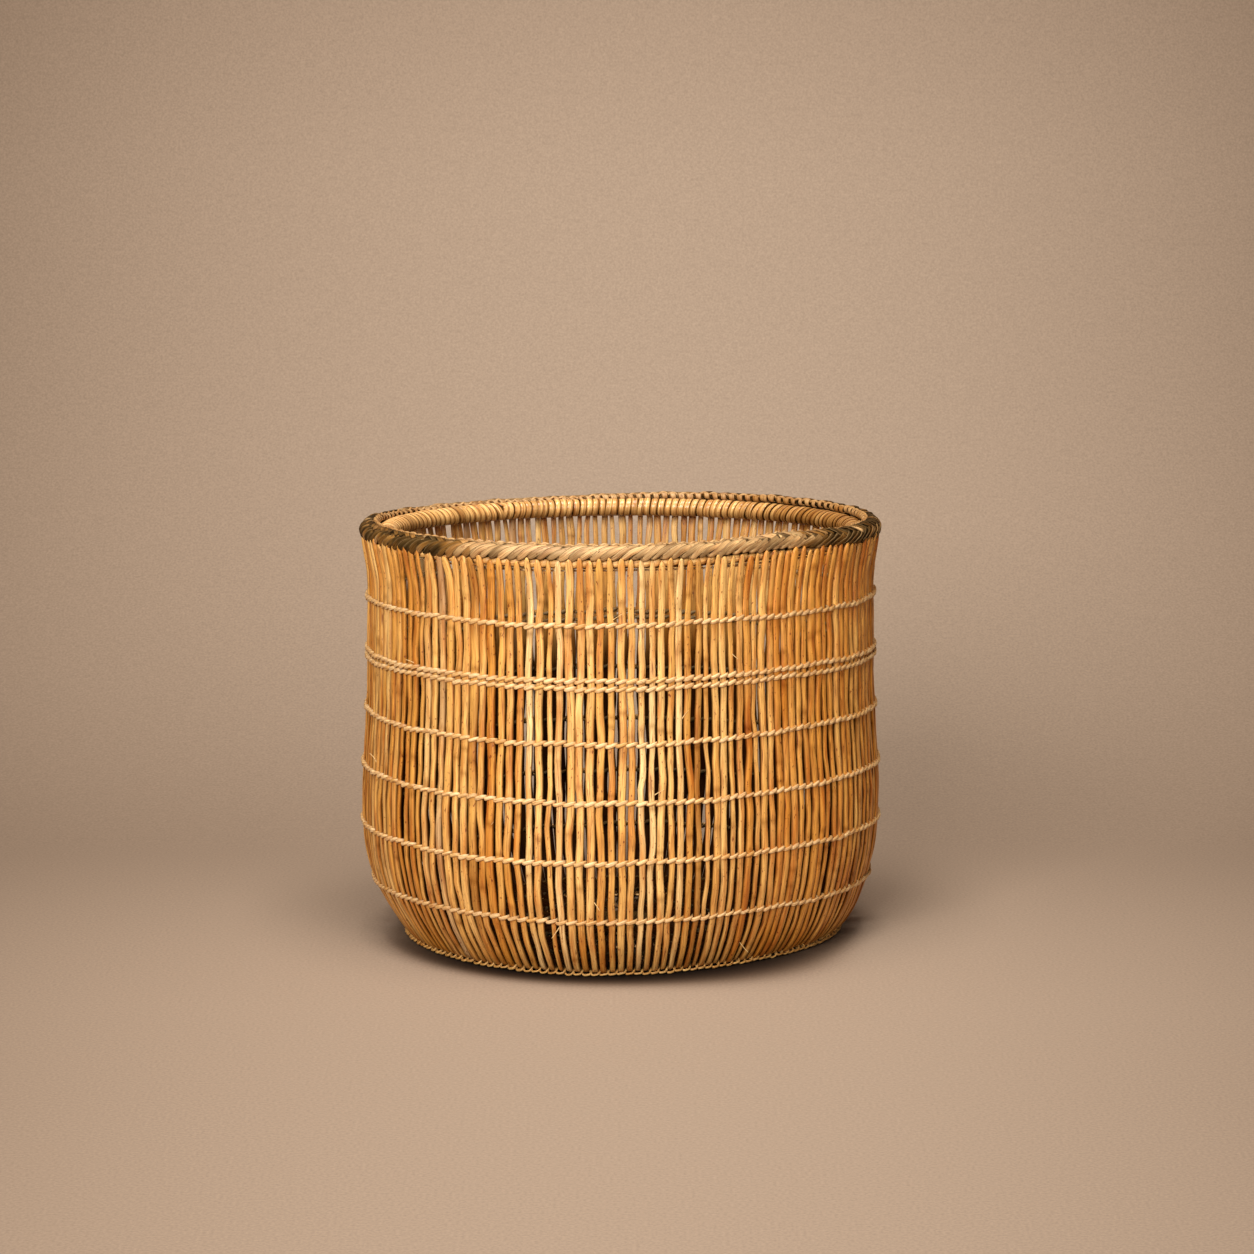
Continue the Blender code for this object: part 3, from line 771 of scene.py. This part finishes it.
def paper_shade(x, y, z):
    """How bright the paper is at a place in metres. It falls off with the square of the distance to the
    side, with height, towards the front, and in a band where it starts to bend. The ring at the foot
    takes away the deep share over the sum of 1 and e to a power: the distance beyond the foot's outline
    less the ring's width, over 0.22 of that width. The ring is wider and deeper in front."""
    shade = 1 - (0.55 + 0.4 * np.clip((0.3 - y) / 0.8, 0, 1)) * x**2
    shade = np.clip(shade, 0.4, 1) * (1 + 0.07 * np.clip(x, -1, 1))
    shade = shade * (1 - 0.16 * np.exp(-(((y - 0.36) / 0.3) ** 2)))
    shade = shade * (1 - 0.45 * np.clip(z - 0.6, 0, 1)) * (1 - 0.2 * np.clip(-y - 0.25, 0, 0.6))
    angle = np.arctan2(y, x)
    foot = hand_made(at_angle(FOOT_RADIUS, angle, BASE_LEVEL))
    beyond = np.hypot(x, y) * 1000 - np.hypot(foot[..., 0], foot[..., 1])
    width = 12 + 11 * near(angle, -110, 60, 4) + 28 * near(angle, -48, 30)
    deep = 0.62 + 0.34 * near(angle, -92, 68, 6)
    return shade * (1 - deep / (1 + np.exp(np.minimum((beyond - width) / (0.22 * width), 50))))


def sweep():
    """The paper: level to 300 mm behind the basket, then up a quarter of a circle of 900 mm and on upwards,
    wide to both sides. Each row of the grid is one straight line across, and the rows and columns lie
    closer together at the basket. Its shade is kept as a colour, which gets warmer as it gets darker."""
    bend = np.linspace(0, math.pi / 2, 40)[1:]
    rise = np.linspace(0, BACKDROP_HEIGHT, 41)[1:]
    flat = np.concatenate([np.linspace(-6000, -900, 12), np.linspace(-850, -275, 24),
                           np.linspace(-270, BEND_START, 115)])
    back = np.concatenate([flat, BEND_START + BEND_RADIUS * np.sin(bend),
                           np.full(len(rise), BEND_START + BEND_RADIUS)])
    level = np.concatenate([0 * flat, BEND_RADIUS * (1 - np.cos(bend)), BEND_RADIUS + rise])
    right = np.concatenate([np.linspace(0, 300, 61)[1:], np.linspace(350, 1400, 22),
                            np.linspace(1500, 6000, 10)])
    side = np.concatenate([-right[::-1], [0], right])
    points = np.stack(np.broadcast_arrays(side[None, :], back[:, None], level[:, None]), -1) * 0.001
    shade = paper_shade(*np.moveaxis(points, -1, 0))[..., None] ** np.array([1, 1.12, 1.22])
    rows, columns = points.shape[:2]
    first = (np.arange(rows - 1)[:, None] * columns + np.arange(columns - 1)).ravel()
    quads = np.stack([first, first + 1, first + 1 + columns, first + columns], 1)
    mesh = bpy.data.meshes.new("paper_sweep")
    mesh.from_pydata(points.reshape(-1, 3).tolist(), [], quads.tolist())
    mesh.shade_smooth()
    shade = np.concatenate([shade, np.ones((rows, columns, 1))], -1)
    keep_values(mesh, "shade", "FLOAT_COLOR", "color", shade)
    made = bpy.data.objects.new("paper_sweep", mesh)
    bpy.context.scene.collection.objects.link(made)
    return made


def paper():
    """Tan paper: its colour is mottled a little by noise on the object's own coordinates, and multiplied
    by its shade. From behind it is clear, so that the basket can be seen from every side."""
    made = bpy.data.materials.new("tan_paper")
    made.use_nodes = True
    nodes, links = made.node_tree.nodes, made.node_tree.links
    shader = nodes["Principled BSDF"]
    shader.inputs["Roughness"].default_value = 0.9
    shader.inputs["Specular IOR Level"].default_value = 0.15
    place = nodes.new("ShaderNodeTexCoord")
    mottle = nodes.new("ShaderNodeTexNoise")
    mottle.inputs["Scale"].default_value = 430
    mottle.inputs["Detail"].default_value = 2
    tint = nodes.new("ShaderNodeMix")
    tint.data_type = "RGBA"
    tint.inputs[6].default_value = (0.262, 0.193, 0.143, 1)
    tint.inputs[7].default_value = (0.441, 0.327, 0.243, 1)
    shade = nodes.new("ShaderNodeAttribute")
    shade.attribute_name = "shade"
    shaded = nodes.new("ShaderNodeVectorMath")
    shaded.operation = "MULTIPLY"
    links.new(place.outputs["Object"], mottle.inputs["Vector"])
    links.new(mottle.outputs["Fac"], tint.inputs[0])
    links.new(tint.outputs[2], shaded.inputs[0])
    links.new(shade.outputs["Color"], shaded.inputs[1])
    links.new(shaded.outputs[0], shader.inputs["Base Color"])
    side = nodes.new("ShaderNodeNewGeometry")
    clear = nodes.new("ShaderNodeBsdfTransparent")
    seen = nodes.new("ShaderNodeMixShader")
    links.new(side.outputs["Backfacing"], seen.inputs[0])
    links.new(shader.outputs[0], seen.inputs[1])
    links.new(clear.outputs[0], seen.inputs[2])
    links.new(seen.outputs[0], nodes["Material Output"].inputs["Surface"])
    return made


floor = sweep()
floor.data.materials.append(paper())
floor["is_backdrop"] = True
BASKET_MIDDLE = 0.17


def lamp(name, place, size, power):
    """A square soft lamp at a place in metres, turned to the middle of the basket, 0.17 m up."""
    data = bpy.data.lights.new(name, "AREA")
    data.shape = "SQUARE"
    data.size = size
    data.energy = power
    data.color = (1.0, 0.965, 0.90)
    made = bpy.data.objects.new(name, data)
    made.location = place
    x, y, z = place
    down = math.atan2(math.hypot(x, y), z - BASKET_MIDDLE)
    made.rotation_euler = (down, 0, math.atan2(y, x) + math.pi / 2)
    bpy.context.scene.collection.objects.link(made)


lamp("key_lamp", (-1.05, -3.0, 1.6), size=1.6, power=112)
lamp("fill_lamp", (1.3, -2.9, 1.1), size=1.2, power=16)
lamp("top_lamp", (0.0, -0.7, 3.0), size=1.5, power=95)
world = bpy.data.worlds.new("studio")
world.use_nodes = True
world.node_tree.nodes["Background"].inputs["Color"].default_value = (1.0, 0.97, 0.93, 1)
world.node_tree.nodes["Background"].inputs["Strength"].default_value = 0.03
bpy.context.scene.world = world

camera = bpy.data.objects.new("camera", bpy.data.cameras.new("camera"))
camera.data.lens = 100.45
camera.data.sensor_width = 36
camera.location = (0.0062, -2.808, 0.672)
camera.rotation_euler = (math.radians(90 - 8.55), 0, 0)
bpy.context.scene.collection.objects.link(camera)
bpy.context.scene.camera = camera
bpy.context.scene.view_settings.view_transform = "Standard"

low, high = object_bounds()
